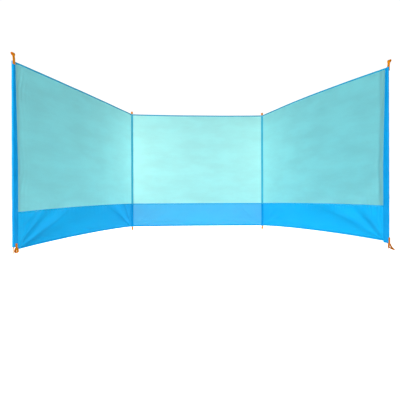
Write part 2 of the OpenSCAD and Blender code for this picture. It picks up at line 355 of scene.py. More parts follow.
@dataclass(frozen=True)
class TapeFinish:
    """A ribbed woven tape or webbing, with worn edges."""

    name: str
    colour: Colour
    shade: Colour
    worn: Colour
    rib: float
    width: float
    roughness: float

    def material(self) -> Material:
        """Builds the tape's material: ribs across its length, which the chart's first direction follows."""
        graph = Graph(self.name)
        along, across = graph.chart()
        ribbing = math.tau / self.rib
        herring = (across * ribbing).sine().size() * self.rib * 0.7
        ribs = ((along + herring) * ribbing).sine() * 0.5 + 0.5
        fibre = graph.noise(graph.place(along * 300.0, across * 1500.0, 0.0), detail=3.0, rough=0.6)
        cloud = graph.noise(graph.place(along, across, 5.0), scale=60.0, detail=3.0, rough=0.6)
        edge = (across / (self.width / 2) - 1.0).size().between(0.72, 1.0)
        tone = ribs * 0.35 + fibre * 0.5 + cloud * 0.5 - 0.25
        woven = graph.mix(tone, self.shade, self.colour)
        colour = graph.mix(edge * cloud * 0.5, woven, self.worn)
        rough = self.roughness + (fibre - 0.5) * 0.2
        normal = graph.bump(ribs * 0.7 + fibre * 0.5, distance=0.0005, strength=0.6)
        return graph.close(graph.skin(colour, rough, {"Specular IOR Level": 0.06, "Normal": normal}))


@dataclass(frozen=True)
class ThreadFinish:
    """A twisted sewing thread."""

    name: str
    colour: Colour
    shade: Colour

    def material(self) -> Material:
        """Builds the thread's material."""
        graph = Graph(self.name)
        spot = graph.body_place()
        x, y, z = graph.parts(spot)
        twist = ((x + y + z) * 9000.0).sine() * 0.5 + 0.5
        fibre = graph.noise(spot, scale=900.0)
        colour = graph.mix(twist * 0.6 + fibre * 0.4, self.shade, self.colour)
        normal = graph.bump(twist, distance=0.0002, strength=0.4)
        return graph.close(graph.skin(colour, 0.45 + fibre * 0.2, {"Normal": normal}))


@dataclass(frozen=True)
class MetalFinish:
    """A drawn or plated metal with marks along its length."""

    name: str
    colour: Colour
    shade: Colour
    roughness: float

    def material(self) -> Material:
        """Builds the metal's material."""
        graph = Graph(self.name)
        spot = graph.body_place()
        x, y, z = graph.parts(spot)
        drawn = graph.noise(graph.place(x * 2500.0, y * 2500.0, z * 6.0), rough=0.6)
        spangle = graph.noise(spot, scale=160.0, detail=3.0, rough=0.6).between(0.35, 0.65)
        scuffs = graph.noise(graph.place(x * 400.0, y * 400.0, z * 90.0), detail=4.0, rough=0.7)
        scuff = scuffs.between(0.62, 0.72)
        colour = graph.mix(spangle * 0.5 + scuff * 0.4, self.colour, self.shade)
        rough = self.roughness + (spangle - 0.5) * 0.12 + scuff * 0.2
        normal = graph.bump(drawn * 0.5 + scuff * 0.5, distance=0.0002, strength=0.3)
        return graph.close(graph.skin(colour, rough, {"Metallic": 1.0, "Normal": normal}))


@dataclass(frozen=True)
class PlasticFinish:
    """A moulded plastic with a fine grain and rubbed high spots."""

    name: str
    colour: Colour
    shade: Colour

    def material(self) -> Material:
        """Builds the plastic's material."""
        graph = Graph(self.name)
        spot = graph.body_place()
        grain = graph.noise(spot, scale=1800.0, rough=0.6)
        rubbed = graph.noise(spot, scale=220.0, detail=4.0, rough=0.65).between(0.52, 0.68)
        colour = graph.mix(rubbed * 0.6, self.colour, self.shade)
        normal = graph.bump(grain, distance=0.0001, strength=0.5)
        return graph.close(graph.skin(colour, 0.42 + grain * 0.16 - rubbed * 0.1, {"Normal": normal}))


@dataclass(frozen=True)
class FloorFinish:
    """A pale matt floor with a glow of its own, so that it reads white all over."""

    name: str
    colour: Colour
    glow: float

    def material(self) -> Material:
        """Builds the floor's material."""
        graph = Graph(self.name)
        cloud = graph.noise(graph.body_place(), scale=1.5)
        pale = tuple(min(1.0, part * 1.02) for part in self.colour)
        glow = {"Specular IOR Level": 0.1, "Emission Color": (1.0, 1.0, 1.0, 1.0), "Emission Strength": self.glow}
        return graph.close(graph.skin(graph.mix(cloud, self.colour, pale), 0.9, glow))


class Finishes:
    """All the materials of the windbreak and of its floor, made once."""

    def __init__(self) -> None:
        """Builds each finish."""
        # Lit and shaded copies of one aqua cloth: the centre copy is painted with a redder, whiter light from behind,
        # the wing copy is painted more shaded. The third colour of each bay cloth is its painted shade.
        self.wing_upper_shaded_copy = ClothFinish(
            "aqua_cloth_shaded_wing_copy", (0.153, 0.63, 0.725), (0.092, 0.45, 0.545), (0.075, 0.34, 0.43),
            0.45, 1.0, (0.64, 0.90, 0.86), 0.50, cloud=0.95,
        ).material()
        self.centre_upper_lit_copy = ClothFinish(
            "aqua_cloth_lit_centre_copy", (0.165, 0.63, 0.70), (0.10, 0.45, 0.52), (0.08, 0.34, 0.41),
            0.45, 1.0, (0.70, 0.90, 0.84), 0.50, cloud=0.95,
        ).material()
        # Lit and shaded copies of one blue skirt cloth: the centre copy is painted lighter and lets more whitish
        # light through than the wing copy.
        self.wing_skirt_shaded_copy = ClothFinish(
            "blue_skirt_cloth_shaded_wing_copy", (0.001, 0.455, 0.86), (0.001, 0.395, 0.80), (0.0, 0.245, 0.58),
            0.40, 0.03, (0.90, 0.95, 1.0), 0.10,
        ).material()
        self.centre_skirt = ClothFinish(
            "blue_skirt_cloth_lit_centre_copy", (0.001, 0.48, 0.88), (0.001, 0.42, 0.82), (0.0, 0.27, 0.60),
            0.40, 0.03, (0.98, 0.93, 0.70), 0.20,
        ).material()
        self.end_sleeve = ClothFinish(
            "blue_sleeve_cloth", (0.001, 0.31, 0.69), (0.001, 0.26, 0.61), (0.0, 0.17, 0.46),
            0.5, 0.08,
        ).material()
        self.inner_sleeve = ClothFinish(
            "teal_sleeve_cloth", (0.07, 0.48, 0.66), (0.05, 0.41, 0.58), (0.001, 0.31, 0.68),
            0.5, 0.08,
        ).material()
        self.binding = TapeFinish(
            "teal_edge_binding", (0.008, 0.37, 0.60), (0.004, 0.27, 0.47), (0.04, 0.46, 0.68),
            0.0012, 0.026, 0.6,
        ).material()
        self.hem = TapeFinish(
            "blue_hem_tape", (0.002, 0.36, 0.74), (0.001, 0.28, 0.62), (0.02, 0.42, 0.80),
            0.0012, 0.032, 0.55,
        ).material()
        self.seam_tape = TapeFinish(
            "blue_seam_tape", (0.005, 0.42, 0.78), (0.003, 0.33, 0.66), (0.08, 0.54, 0.82),
            0.0012, 0.012, 0.55,
        ).material()
        self.webbing = TapeFinish(
            "orange_webbing", (0.76, 0.25, 0.001), (0.55, 0.165, 0.001), (0.80, 0.30, 0.005),
            0.0026, 0.020, 0.62,
        ).material()
        self.pale_thread = ThreadFinish("pale_thread", (0.62, 0.86, 0.93), (0.42, 0.70, 0.82)).material()
        self.blue_thread = ThreadFinish("blue_thread", (0.01, 0.25, 0.62), (0.005, 0.16, 0.45)).material()
        self.orange_thread = ThreadFinish("orange_thread", (0.70, 0.16, 0.01), (0.45, 0.09, 0.005)).material()
        self.pole = MetalFinish("galvanised_tube", (0.62, 0.63, 0.65), (0.45, 0.46, 0.48), 0.34).material()
        self.spike = MetalFinish("yellow_zinc_spike", (0.62, 0.30, 0.05), (0.44, 0.20, 0.03), 0.30).material()
        self.cap = PlasticFinish("black_moulded_cap", (0.012, 0.012, 0.013), (0.05, 0.05, 0.052)).material()
        self.floor = FloorFinish("pale_floor", (0.90, 0.90, 0.90), 1.01).material()


def add_object(name: str, data: bpy.types.ID) -> Piece:
    """Adds an object to the scene."""
    thing = bpy.data.objects.new(name, data)
    bpy.context.scene.collection.objects.link(thing)
    return thing


class PieceMesh:
    """Points and faces of one piece, gathered shell by shell."""

    def __init__(self) -> None:
        """Starts an empty piece."""
        self.points: list[Array] = []
        self.charts: list[Array] = []
        self.creases_and_painted_shade: list[Array] = []
        self.faces: list[Array] = []
        self.count = 0

    def shell(self, front: Array, back: Array, chart: Array, painted_shade_and_foot: Array | None = None) -> None:
        """Adds a closed thin shell between two grids of points.

        Args:
            front: Points of one face, as rows and columns.
            back: Points of the other face.
            chart: The two lengths of the chart at each point of a face, in metres.
            painted_shade_and_foot: Share of the second colour at each point, from 0 to 1: painted shade in folds and
                bends on the bays, the blue foot on the inner sleeves.
        """
        rows, columns = front.shape[:2]
        size = rows * columns
        near = np.arange(size).reshape(rows, columns)
        far = near + size
        rim = np.concatenate([near[0, :-1], near[:-1, -1], near[-1, :0:-1], near[:0:-1, 0]])
        after = np.roll(rim, -1)
        quads = [
            np.stack([grid[:-1, :-1], grid[:-1, 1:], grid[1:, 1:], grid[1:, :-1]], -1).reshape(-1, 4)
            for grid in (near, far)
        ]
        faces = np.concatenate([quads[0], quads[1][:, ::-1], np.stack([after, rim, rim + size, after + size], -1)])
        points = np.concatenate([front.reshape(-1, 3), back.reshape(-1, 3)])
        if self._volume(points, faces) < 0:
            faces = faces[:, ::-1]
        marks = np.zeros((rows, columns)) if painted_shade_and_foot is None else painted_shade_and_foot
        self.points.append(points)
        self.charts.append(np.tile(chart.reshape(-1, 2), (2, 1)))
        self.creases_and_painted_shade.append(np.tile(marks.reshape(-1), 2))
        self.faces.append(faces + self.count)
        self.count += len(points)

    @staticmethod
    def _volume(points: Array, faces: Array) -> float:
        """Six times the volume inside closed faces, which is below 0 where they point inwards."""
        a, b, c, d = (points[faces[:, k]] - points.mean(axis=0) for k in range(4))
        return float(np.sum(np.cross(a, b) * c) + np.sum(np.cross(a, c) * d))

    def piece(self, name: str, material: Material) -> Piece:
        """Makes the object.

        Args:
            name: The piece's name.
            material: Its only material.

        Returns:
            The new object, at the origin, with smooth faces and a chart.
        """
        mesh = bpy.data.meshes.new(name)
        mesh.from_pydata(np.concatenate(self.points).tolist(), [], np.concatenate(self.faces).tolist())
        corners = np.empty(len(mesh.loops), dtype=np.int32)
        mesh.loops.foreach_get("vertex_index", corners)
        chart = mesh.uv_layers.new(name="chart")
        chart.data.foreach_set("uv", np.concatenate(self.charts)[corners].astype(np.float32).ravel())
        # Painted shade on the bays, and the inner sleeves' foot, as a number at each point.
        painted_shade_and_foot = mesh.attributes.new("painted_shade_and_foot", "FLOAT", "POINT")
        painted_shade_and_foot.data.foreach_set("value", np.concatenate(self.creases_and_painted_shade).astype(np.float32))
        mesh.polygons.foreach_set("use_smooth", np.ones(len(mesh.polygons), dtype=bool))
        mesh.set_sharp_from_angle(angle=SHARP_EDGE)
        mesh.materials.append(material)
        mesh.update()
        return add_object(name, mesh)


@dataclass(frozen=True)
class StitchRows:
    """Rows of stitches that follow lines on the cloth, made by Geometry Nodes."""

    pitch: float = 0.007
    length: float = 0.0048
    thickness: float = 0.0007
    seed: int = 7

    def _tree(self, material: Material) -> bpy.types.GeometryNodeTree:
        """Builds the tree that sets one stitch at each step along every line.

        Args:
            material: The thread.

        Returns:
            The tree, with named inputs for the sizes of the stitches.
        """
        tree = bpy.data.node_groups.new("stitch_rows", "GeometryNodeTree")
        add, socket = tree.nodes.new, tree.interface.new_socket
        socket("Lines", in_out="INPUT", socket_type="NodeSocketGeometry")
        for name, size in (("Pitch", self.pitch), ("Length", self.length), ("Thickness", self.thickness)):
            socket(name, in_out="INPUT", socket_type="NodeSocketFloat").default_value = size
        socket("Stitches", in_out="OUTPUT", socket_type="NodeSocketGeometry")
        given, done = add("NodeGroupInput"), add("NodeGroupOutput")
        points, turn = add("GeometryNodeCurveToPoints"), add("FunctionNodeAlignRotationToVector")
        stitch, vary = add("GeometryNodeMeshUVSphere"), add("FunctionNodeRandomValue")
        size, scale = add("ShaderNodeCombineXYZ"), add("ShaderNodeVectorMath")
        place, real = add("GeometryNodeInstanceOnPoints"), add("GeometryNodeRealizeInstances")
        smooth, dressed = add("GeometryNodeSetShadeSmooth"), add("GeometryNodeSetMaterial")
        points.mode, turn.axis, vary.data_type, scale.operation = "LENGTH", "Z", "FLOAT", "SCALE"
        for node, key, value in (
            (stitch, "Segments", 5), (stitch, "Rings", 3), (stitch, "Radius", 0.5),
            (vary, 2, 0.88), (vary, 3, 1.06), (vary, "Seed", self.seed), (dressed, "Material", material),
        ):
            node.inputs[key].default_value = value
        for source, leaves, target, enters in (
            (given, "Lines", points, "Curve"),
            (given, "Pitch", points, "Length"),
            (points, "Tangent", turn, "Vector"),
            (given, "Thickness", size, "X"),
            (given, "Thickness", size, "Y"),
            (given, "Length", size, "Z"),
            (size, "Vector", scale, 0),
            (vary, 1, scale, "Scale"),
            (points, "Points", place, "Points"),
            (stitch, "Mesh", place, "Instance"),
            (turn, "Rotation", place, "Rotation"),
            (scale, "Vector", place, "Scale"),
            (place, "Instances", real, "Geometry"),
            (real, "Geometry", smooth, "Geometry"),
            (smooth, "Geometry", dressed, "Geometry"),
            (dressed, "Geometry", done, "Stitches"),
        ):
            tree.links.new(source.outputs[leaves], target.inputs[enters])
        return tree

    def sew(self, name: str, lines: Sequence[Array], material: Material) -> Piece:
        """Sews stitches along lines.

        Args:
            name: The piece's name.
            lines: The lines, each as points in the shared frame.
            material: The thread.

        Returns:
            All the stitches as one plain mesh.
        """
        curve = bpy.data.curves.new(name + "_lines", "CURVE")
        curve.dimensions = "3D"
        for line in lines:
            spline = curve.splines.new("POLY")
            spline.points.add(len(line) - 1)
            places = np.column_stack([line, np.ones(len(line))])
            spline.points.foreach_set("co", places.astype(np.float32).ravel())
        guide = add_object(name + "_lines", curve)
        guide.modifiers.new("stitch_rows", "NODES").node_group = self._tree(material)
        graph = bpy.context.evaluated_depsgraph_get()
        mesh = bpy.data.meshes.new_from_object(guide.evaluated_get(graph), depsgraph=graph)
        mesh.name = name
        bpy.data.objects.remove(guide)
        bpy.data.curves.remove(curve)
        return add_object(name, mesh)


def dress(piece: Piece, nodes: Sequence[str] = ()) -> Piece:
    """Sets a piece on the frame.

    Args:
        piece: The new piece.
        nodes: The solids that it stands for.

    Returns:
        The piece.
    """
    if nodes:
        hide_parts(*nodes)
    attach(piece, "root")
    faces = len(piece.data.polygons)
    log.info("%s: %d faces, stands for %s", piece.name, faces, ", ".join(nodes) or "no solid")
    return piece


@dataclass(frozen=True)
class Fold:
    """A soft fold: its angle and width in degrees, its steepness, and how much painted shade lies along one flank."""

    angle: float
    width: float
    steepness: float = 0.2
    # Painted shade along the fold's flank, from 0 to 1.
    painted_shade_and_foot: float = 0.0


@dataclass(frozen=True)
class CreaseFan:
    """Folds that run out from a corner where the cloth is pulled."""

    x: float
    z: float
    folds: tuple[Fold, ...]
    reach: float
    seed: int

    def shape(self, x: Array, z: Array) -> tuple[Array, Array]:
        """How the folds lie at places of the bay.

        Args:
            x: Distance along the bay.
            z: Height.

        Returns:
            How far they push the cloth to the windward face, and how much painted shade lies along one flank of each
            fold, from 0 to 1.
        """
        rng = np.random.default_rng(self.seed)
        run, rise = x - self.x, z - self.z
        away = np.hypot(run, rise)
        angle = np.degrees(np.arctan2(rise, run))
        push, painted_shade = np.zeros_like(away), np.zeros_like(away)
        for fold in self.folds:
            fade = np.clip(1 - away / (self.reach * rng.uniform(0.85, 1.0)), 0, 1) ** 1.2
            wander = 0.12 * wave(away, rng.uniform(0.25, 0.45), rng.uniform())
            side = (angle - fold.angle) / fold.width + wander
            push += fold.steepness * math.radians(fold.width) / STEEPEST * away * fade * np.exp(-(side**2))
            # Painted shade on each fold's flank at the lower angle.
            painted_shade += fold.painted_shade_and_foot * fade * np.exp(-(((side + 0.55) / 0.6) ** 2))
        return push, painted_shade


@dataclass(frozen=True)
class Crease:
    """A narrow line pushed into the cloth, through places of the bay, with painted shade along it."""

    points: tuple[tuple[float, float], ...]
    painted_shade: float
    width: float = 0.011
    depth: float = 0.0018

    def shape(self, x: Array, z: Array) -> tuple[Array, Array]:
        """How the crease lies at places of the bay.

        Args:
            x: Distance along the bay.
            z: Height.

        Returns:
            How far it pushes the cloth to the windward face, and how much painted shade lies along it, from 0 to 1.
        """
        nearest = np.full(np.broadcast(x, z).shape, np.inf)
        along = np.zeros_like(nearest)
        for part, ((x0, z0), (x1, z1)) in enumerate(zip(self.points, self.points[1:])):
            run, rise = x1 - x0, z1 - z0
            share = np.clip(((x - x0) * run + (z - z0) * rise) / (run**2 + rise**2), 0, 1)
            away = np.hypot(x - x0 - share * run, z - z0 - share * rise)
            along = np.where(away < nearest, (part + share) / (len(self.points) - 1), along)
            nearest = np.minimum(nearest, away)
        line = np.exp(-((nearest / self.width) ** 2)) * eased(along, -0.1, 0.2) * (1 - 0.6 * eased(along, 0.6, 1.0))
        # The line's push and its painted shade share one profile.
        return self.depth * line, self.painted_shade * line


@dataclass(frozen=True)
class Swell:
    """Broad soft waves of cloth that is only lightly stretched."""

    depth: float
    longest: float
    shortest: float
    lean: float
    seed: int

    def offset(self, x: Array, z: Array) -> Array:
        """How far the waves push the cloth out at places of the bay."""
        rng = np.random.default_rng(self.seed)
        total = np.zeros(np.broadcast(x, z).shape)
        for _ in range(7):
            angle = math.radians(self.lean) + rng.normal(0, 0.45)
            length = rng.uniform(self.shortest, self.longest)
            run = x * math.cos(angle) + z * math.sin(angle)
            height = rng.uniform(0.4, 1.0) * (length / self.longest)
            total += height * wave(run, length, rng.uniform())
        return self.depth * total / 2.6


@dataclass(frozen=True)
class SideRipples:
    """Upright ripples in the loose cloth beside an end sleeve."""

    depth: float
    pitch: float
    reach: float
    seed: int

    def offset(self, x: Array, z: Array) -> Array:
        """How far the ripples push the cloth out at places of the bay."""
        rng = np.random.default_rng(self.seed)
        away = np.clip(x - SIZES.end_edge(z) - SIZES.margin, 0, None)
        wander = 0.35 * wave(z, 0.9, rng.uniform()) + 0.2 * wave(z, 0.37)
        ripple = wave(away, self.pitch, wander)
        strength = 0.65 + 0.35 * wave(z, 0.7, rng.uniform())
        return self.depth * ripple * strength * np.exp(-((away / self.reach) ** 2)) * eased(away, 0.0, self.pitch / 2)


@dataclass(frozen=True)
class SeamPucker:
    """Small gathers on both sides of the seam over the skirt."""

    depth: float
    pitch: float
    reach: float
    seed: int

    def offset(self, x: Array, away: Array) -> Array:
        """How far the gathers push the cloth out, so far along the bay and away from the seam."""
        rng = np.random.default_rng(self.seed)
        total = np.zeros(np.broadcast(x, away).shape)
        for _ in range(4):
            pitch = self.pitch * rng.uniform(0.7, 1.5)
            slow = 0.5 + 0.5 * wave(x, rng.uniform(0.3, 0.6), rng.uniform())
            total += slow * wave(x, pitch, rng.uniform())
        return self.depth * total / 2 * np.exp(-away / self.reach) * eased(away, -0.01, 0.012)


@dataclass(frozen=True)
class Bay:
    """One bay of the windbreak: panel, skirt, binding, hem and taped seam on one lie of the cloth."""

    name: str
    frame: BayFrame
    edges: Edges
    end_sleeve: bool
    fans: tuple[CreaseFan, ...]
    swell: Swell
    ripples: tuple[SideRipples, ...]
    pucker: SeamPucker
    belly: float
    # Width of painted shade beside the first sleeve, where the panel is turned in.
    turned_in_shade_width: float = 0.0
    creases_and_painted_shade: tuple[Crease, ...] = ()
    cloth: float = 0.0004
    tape: float = 0.0005
    binding_width: float = 0.012
    hem_width: float = 0.015
    seam_width: float = 0.012
    under_tape: float = 0.0040
    stitch_inset: float = 0.0025
    tape_points: int = 260
    held_width: float = 0.05
    folds_held_width: float = 0.012

    def start(self, z: Array) -> Array:
        """Distance from the first pole's axis to the cloth's edge at height z."""
        z = np.asarray(z, float)
        return SIZES.end_edge(z) if self.end_sleeve else np.full_like(z, SIZES.sleeve_outside)

    @property
    def finish_edge(self) -> float:
        """Distance from the first pole's axis to the cloth's other edge."""
        return SIZES.bay_width - SIZES.sleeve_outside

    def lie(self, x: Array, z: Array) -> Array:
        """Offset of the cloth's middle towards the windward face.

        Args:
            x: Distance along the bay.
            z: Height.

        Returns:
            The offset, which is 0 in the sewn margins of the sleeves.
        """
        over = z - self.edges.seam(x)
        below = 1 - eased(over, -0.01, 0.10)
        folds = sum((fold.shape(x, z)[0] for fold in self.fans + self.creases_and_painted_shade), np.zeros(np.broadcast(x, z).shape))
        height = (z - SIZES.ground_gap) / SIZES.cloth_height
        loose = self.swell.offset(x, z) + self.belly * SIZES.bulge(x) * np.sin(math.pi * np.clip(height, 0, 1))
        ripples = sum((ripple.offset(x, z) for ripple in self.ripples), np.zeros_like(loose))
        near = x - self.start(z) - SIZES.margin
        far = self.finish_edge - SIZES.margin - x
        hold, soft_hold = (
            eased(near, 0.0, width) * eased(far, 0.0, width) for width in (self.held_width, self.folds_held_width)
        )
        gathers = self.pucker.offset(x, np.abs(over))
        return hold * loose + soft_hold * (folds * (0.2 + 0.8 * below) + ripples + gathers)

    def _painted_shade_at(self, x: Array, z: Array) -> Array:
        """How much painted shade each place gets, from 0 to 1: in bends, along the folds and fold lines, and in a
        band beside the first sleeve where the panel is turned in and lets less light through.
        """
        step, sharpest, strength, turned_in_shade = 0.006, 0.35, 0.3, 0.75
        middle = self.lie(x, z)
        bend = sum(self.lie(x + dx, z + dz) for dx, dz in ((step, 0), (-step, 0), (0, step), (0, -step))) - 4 * middle
        # Painted shade in the hollows of bends.
        painted_bend_shade = np.clip(bend / step / sharpest, 0, 1) ** 1.2 * strength
        above = eased(z - self.edges.seam(x), -0.004, 0.004)
        painted_fold_shade = sum((fold.shape(x, z)[1] for fold in self.fans + self.creases_and_painted_shade), np.zeros_like(middle)) * (1 - above)
        inside = x - self.start(z) - self.turned_in_shade_width
        return np.clip(painted_bend_shade + painted_fold_shade + turned_in_shade * (1 - eased(inside, -0.008, 0.008)) * above, 0, 1)

    def _grid(self, low: Line, high: Line, columns: int, rows: int) -> tuple[Array, Array]:
        """Places of a sheet between two lines.

        Args:
            low: Height of the lower edge by the distance along the bay.
            high: Height of the upper edge.
            columns: Number of columns along the bay.
            rows: Number of rows up the sheet.

        Returns:
            x and z of each place.
        """
        share = np.linspace(0, 1, columns)[None, :]
        up = np.linspace(0, 1, rows)[:, None]
        ends = []
        for edge in (low, high):
            begin = self.start(edge(np.zeros(1)))
            ends.append(edge(begin + (self.finish_edge - begin) * share))
        z = ends[0] + (ends[1] - ends[0]) * up
        begin = self.start(z[:, :1])
        return begin + (self.finish_edge - begin) * share, z

    def _sheet(self, low: Line, high: Line, columns: int, rows: int) -> PieceMesh:
        """A thin closed sheet between two lines, on the lie of the cloth."""
        x, z = self._grid(low, high, columns, rows)
        middle = self.lie(x, z)
        sides = [self.frame.world(x, middle + face.value * self.cloth / 2, z) for face in Face]
        mesh = PieceMesh()
        mesh.shell(*sides, np.stack([x, z], -1), self._painted_shade_at(x, z))
        return mesh

    def _piece(self, mesh: PieceMesh, ending: str, material: Material, node: str) -> Piece:
        """Makes a piece of the bay and sets it on the frame in place of its solid."""
        return dress(mesh.piece(self.name + ending, material), [self.name + node])

    def panel(self, finishes: Finishes) -> Piece:
        """The upper panel."""
        mesh = self._sheet(lambda run: self.edges.seam(run) - self.under_tape, self.edges.top, columns=164, rows=112)
        # The centre bay takes the copy of the cloth painted with light from behind, the wings the copy painted more
        # shaded.
        cloth = finishes.wing_upper_shaded_copy if self.end_sleeve else finishes.centre_upper_lit_copy
        return self._piece(mesh, "_upper_cloth", cloth, "_panel")

    def skirt(self, finishes: Finishes) -> Piece:
        """The skirt, which ends just under the panel's lower edge."""
        edge = self.under_tape + 0.0005
        mesh = self._sheet(self.edges.hem, lambda run: self.edges.seam(run) - edge, columns=320, rows=56)
        # The centre bay takes the skirt cloth painted lighter, the wings the copy painted more shaded.
        cloth = finishes.wing_skirt_shaded_copy if self.end_sleeve else finishes.centre_skirt
        return self._piece(mesh, "_skirt_cloth", cloth, "_skirt")

    def _run(self, z: float) -> Array:
        """Distances along a tape, from margin to margin, at the height of its start."""
        begin = float(self.start(np.array(z))) + SIZES.margin
        return np.linspace(begin, self.finish_edge - SIZES.margin, self.tape_points)

    def _folded(self, x: Array, edge: Array, width: float, sign: int) -> PieceMesh:
        """A tape folded over an edge of the cloth.

        Args:
            x: Distances along the tape.
            edge: Height of the cloth's edge there.
            width: How far the tape reaches over each face.
            sign: 1 over an upper edge and -1 under a lower one.

        Returns:
            The tape's mesh.
        """
        inside = self.cloth / 2 + PROUD
        down = -width * np.array([1.0, 0.6, 0.2])
        turn = np.linspace(0, math.pi, 7)
        faces = []
        for gap in (inside + self.tape, inside):
            across = np.concatenate([[-gap] * 3, -gap * np.cos(turn), [gap] * 3])
            rise = np.concatenate([down, gap * np.sin(turn), down[::-1]])
            z = edge[:, None] + sign * rise[None, :]
            base = self.lie(np.broadcast_to(x[:, None], z.shape), edge[:, None] + sign * np.minimum(rise, 0)[None, :])
            faces.append(self.frame.world(x[:, None], base + across[None, :], z))
        half_way = np.concatenate([np.linspace(0, width, 4), width + np.array([0.0005, 0.0010, 0.0015])])
        way = np.concatenate([half_way, (2 * width + 0.002 - half_way[::-1])[:-1]])
        mesh = PieceMesh()
        mesh.shell(*faces, chart_of(x, way))
        return mesh

    def binding(self, finishes: Finishes) -> Piece:
        """The tape over the panel's upper edge."""
        x = self._run(SIZES.high)
        mesh = self._folded(x, self.edges.top(x), self.binding_width, 1)
        return self._piece(mesh, "_edge_binding", finishes.binding, "_binding")

    def hem(self, finishes: Finishes) -> Piece:
        """The tape under the skirt's lower edge."""
        x = self._run(SIZES.ground_gap)
        mesh = self._folded(x, self.edges.hem(x), self.hem_width, -1)
        return self._piece(mesh, "_hem_tape", finishes.hem, "_hem")

    def seam_tape(self, finishes: Finishes) -> Piece:
        """The two tapes over the seam between skirt and panel."""
        x = self._run(SIZES.ground_gap + SIZES.skirt_height)
        rise = np.linspace(-self.seam_width / 2, self.seam_width / 2, 6)
        z = self.edges.seam(x)[:, None] + rise[None, :]
        base = self.lie(np.broadcast_to(x[:, None], z.shape), z)
        chart = chart_of(x, rise + self.seam_width / 2)
        mesh = PieceMesh()
        for face in Face:
            gaps = (self.cloth / 2, self.cloth / 2 + self.tape)
            mesh.shell(*(self.frame.world(x[:, None], base + face.value * gap, z) for gap in gaps), chart)
        return self._piece(mesh, "_seam_tapes", finishes.seam_tape, "_seam_tape")

    def _row(self, x: Array, z: Array, proud: float) -> list[Array]:
        """A line for stitches on each face, so far from the middle of the cloth."""
        return [self.frame.world(x, self.lie(x, z) + face.value * proud, z) for face in Face]

    def stitches(self, finishes: Finishes) -> list[Piece]:
        """The stitches of the taped seam, and those of the binding and the hem."""
        proud = self.cloth / 2 + self.tape + PROUD
        sewing = StitchRows()
        x = self._run(SIZES.ground_gap + SIZES.skirt_height)
        seam = [line for rise in (-0.004, 0.004) for line in self._row(x, self.edges.seam(x) + rise, proud)]
        top = self._run(SIZES.high)
        low = self._run(SIZES.ground_gap)
        edges = self._row(top, self.edges.top(top) - self.binding_width + self.stitch_inset, proud)
        edges += self._row(low, self.edges.hem(low) + self.hem_width - self.stitch_inset, proud)
        return [
            dress(sewing.sew(self.name + "_seam_stitches", seam, finishes.pale_thread)),
            dress(sewing.sew(self.name + "_edge_stitches", edges, finishes.blue_thread)),
        ]

    def build(self, finishes: Finishes, sleeves: Sequence[str]) -> None:
        """Builds all that the bay is sewn from.

        Args:
            finishes: The materials.
            sleeves: Names of the two sleeves that the bay is sewn into; not used.
        """
        panel, skirt = self.panel(finishes), self.skirt(finishes)
        binding, hem, tapes = self.binding(finishes), self.hem(finishes), self.seam_tape(finishes)
        seam_rows, edge_rows = self.stitches(finishes)
        list(sleeves)
        list(sleeves)


@dataclass(frozen=True)
class Sleeve(ABC):
    """A cloth sleeve round a pole, sewn from strips that close on the edges of the cloth."""

    name: str
    frame: BayFrame
    seed: int
    rows: int = 141
    cut_rows: int = 1
    wrinkle_depth: float = 0.0008

    def _wrinkle(self, turn: Array, z: Array) -> Array:
        """Small outward wrinkles by the turn round the pole, in radians, and the height."""
        rng = np.random.default_rng(self.seed)
        total = np.zeros(np.broadcast(turn, z).shape)
        for _ in range(6):
            pitch = rng.uniform(0.03, 0.22)
            phase = math.tau * (z / pitch + rng.uniform()) + rng.integers(0, 3) * turn + rng.uniform(0, 3)
            total += np.sin(phase) * pitch
        return self.wrinkle_depth * np.clip(total / 0.4 + 0.35, 0, 1)

    @abstractmethod
    def strips(self, z: Array) -> list[tuple[Array, Array]]:
        """Outer and inner section points of each strip at each height.

        Args:
            z: Heights of the sections.

        Returns:
            For each strip, the outer and the inner points as x and n in the bay's frame.
        """

    @abstractmethod
    def margin_lines(self, z: Array) -> list[Array]:
        """Lines for the stitches through the sewn margins."""

    @abstractmethod
    def finish(self, finishes: Finishes) -> Material:
        """The sleeve's own cloth."""

    @staticmethod
    def _steps(section: Array) -> Array:
        """Distances from point to point of a section, at each height."""
        return np.hypot(*np.moveaxis(np.diff(section, axis=1), -1, 0))

    def cut(self) -> tuple[float, float]:
        """Width and length of the sleeve's cloth: the mean way round its strips, and the height."""
        z = np.linspace(SIZES.ground_gap, SIZES.high, self.cut_rows)
        ways = [float(self._steps(outer).sum(axis=1).mean()) for outer, _ in self.strips(z)]
        return sum(ways), SIZES.cloth_height

    def foot(self, z: Array) -> Array:
        """Share of the finish's painted shade and foot colour at each height: none."""
        return np.zeros_like(z)

    def build(self, finishes: Finishes) -> None:
        z = np.linspace(SIZES.ground_gap, SIZES.high, self.rows)
        mesh = PieceMesh()
        for outer, inner in self.strips(z):
            heights = np.broadcast_to(z[:, None], outer.shape[:2])
            way = np.concatenate([np.zeros((len(z), 1)), np.cumsum(self._steps(outer), axis=1)], axis=1)
            sides = [self.frame.world(side[..., 0], side[..., 1], heights) for side in (outer, inner)]
            mesh.shell(*sides, np.stack([way, heights], -1), self.foot(heights))
        piece = dress(mesh.piece(self.name + "_cloth", self.finish(finishes)), [self.name])
        rows = dress(
            StitchRows().sew(self.name + "_stitches", self.margin_lines(z), finishes.blue_thread)
        )
        self.cut()


def tangent_turn(x: Array, n: float, radius: float) -> Array:
    """Turn of the point where a line from (x, n) touches a circle about the pole."""
    return np.arctan2(n, x) + np.arccos(radius / np.hypot(x, n))


